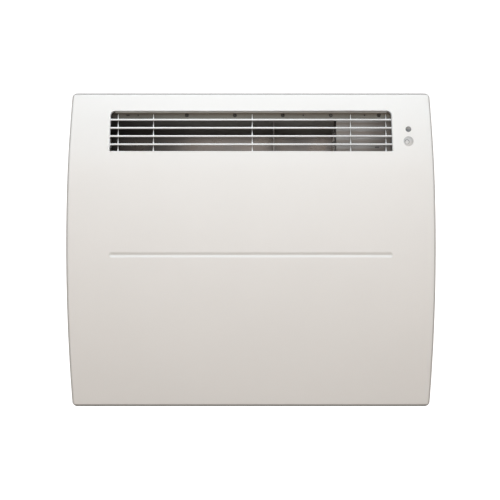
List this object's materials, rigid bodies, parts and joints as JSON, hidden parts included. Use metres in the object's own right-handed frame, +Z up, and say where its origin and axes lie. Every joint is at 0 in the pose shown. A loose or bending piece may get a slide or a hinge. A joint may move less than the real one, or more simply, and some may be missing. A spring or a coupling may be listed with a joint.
{
  "type": "electric panel radiator",
  "caption": "White wall-hung electric convector heater with bowed sides, a slatted warm-air outlet, a pressed groove, sensor windows, top keys and a quarter-turn wall bracket.",
  "frame": {"origin": "on the wall plane, centre of the four wall screws, at half the heater's height", "axes": "+X to the right seen from the front, +Y into the wall, +Z up; the front faces -Y"},
  "size_m": [0.53, 0.098, 0.45],
  "materials": {
    "cover_enamel": "satin white enamel",
    "grille_enamel": "satin white enamel",
    "indicator_plastic": "dark tinted, glossy",
    "lens_plastic": "translucent white, faint rings",
    "holder_plastic": "moulded",
    "board_laminate": "solder mask",
    "casing_zinc": "galvanised, fine spangle",
    "reflector_zinc": "bright galvanised",
    "deflector_zinc": "galvanised",
    "rail_zinc": "dull zinc",
    "fin_aluminium": "mill finish",
    "pin_steel": "satin, heat tinted",
    "bush_ceramic": "unglazed",
    "bracket_zinc": "zinc plated",
    "cutout_phenolic": "moulded phenolic",
    "housing_plastic": "light grey, moulded",
    "bezel_plastic": "satin white",
    "window_acrylic": "smoked, glossy",
    "display_plastic": "moulded",
    "switch_plastic": "moulded",
    "key_plastic": "satin light grey",
    "relay_plastic": "moulded",
    "terminal_plastic": "moulded polyamide",
    "rocker_plastic": "glossy black",
    "gland_plastic": "moulded polyamide",
    "stud_brass": "plated",
    "probe_resin": "dipped",
    "clip_plastic": "moulded",
    "red_silicone": "matt",
    "blue_silicone": "matt",
    "black_silicone": "matt",
    "grey_silicone": "matt",
    "wall_steel": "light grey powder coat",
    "lock_plastic": "moulded, off-white",
    "screw_zinc": "zinc plated"
  },
  "bodies": {
    "heater": {"front_cover": "cover_enamel", "outlet_grille": "grille_enamel", "indicator_window": "indicator_plastic", "presence_lens": "lens_plastic", "sensor_holder": "holder_plastic", "sensor_board": "board_laminate", "rear_casing": "casing_zinc", "heat_reflector": "reflector_zinc", "air_deflector": "deflector_zinc", "deflector_strut": "deflector_zinc", "top_rail": "rail_zinc", "finned_element": "fin_aluminium", "element_pins": "pin_steel", "bush_left": "bush_ceramic", "bush_right": "bush_ceramic", "element_bracket_left": "bracket_zinc", "element_bracket_right": "bracket_zinc", "thermal_cutout": "cutout_phenolic", "control_bracket": "bracket_zinc", "control_housing": "housing_plastic", "control_bezel": "bezel_plastic", "display_window": "window_acrylic", "display_module": "display_plastic", "keypad_board": "board_laminate", "key_switches": "switch_plastic", "power_board": "board_laminate", "relay": "relay_plastic", "terminal_block": "terminal_plastic", "mains_switch": "switch_plastic", "cable_gland": "gland_plastic", "earth_stud": "stud_brass", "room_probe": "probe_resin", "probe_clip": "clip_plastic", "live_lead": "red_silicone", "neutral_lead": "blue_silicone", "cutout_lead": "red_silicone", "switch_lead": "black_silicone", "probe_lead": "grey_silicone", "wall_bracket": "wall_steel", "cover_screws": "screw_zinc", "element_screws": "screw_zinc", "control_screws": "screw_zinc"},
    "minus": {"key_minus": "key_plastic"},
    "plus": {"key_plus": "key_plastic"},
    "mode": {"key_mode": "key_plastic"},
    "confirm": {"key_confirm": "key_plastic"},
    "rocker": {"mains_rocker": "rocker_plastic"},
    "left_lock": {"lock_left": "lock_plastic"},
    "right_lock": {"lock_right": "lock_plastic"}
  },
  "joints": [
    {"name": "minus_press", "type": "slide", "parent": "heater", "child": "minus", "axis": [0, 0, -1], "range_m": [0, 0.0008], "stiffness_N_per_m": 900, "springref_m": -0.0003},
    {"name": "plus_press", "type": "slide", "parent": "heater", "child": "plus", "axis": [0, 0, -1], "range_m": [0, 0.0008], "stiffness_N_per_m": 900, "springref_m": -0.0003},
    {"name": "mode_press", "type": "slide", "parent": "heater", "child": "mode", "axis": [0, 0, -1], "range_m": [0, 0.0008], "stiffness_N_per_m": 900, "springref_m": -0.0003},
    {"name": "confirm_press", "type": "slide", "parent": "heater", "child": "confirm", "axis": [0, 0, -1], "range_m": [0, 0.0008], "stiffness_N_per_m": 900, "springref_m": -0.0003},
    {"name": "rocker_tilt", "type": "hinge", "parent": "heater", "child": "rocker", "pos_m": [0.222, -0.0215, -0.14], "axis": [1, 0, 0], "range_deg": [0, 18]},
    {"name": "left_lock_turn", "type": "hinge", "parent": "heater", "child": "left_lock", "pos_m": [-0.1, -0.019, 0.1775], "axis": [0, 1, 0], "range_deg": [-90, 0]},
    {"name": "right_lock_turn", "type": "hinge", "parent": "heater", "child": "right_lock", "pos_m": [0.1, -0.019, 0.1775], "axis": [0, 1, 0], "range_deg": [0, 90]}
  ]
}
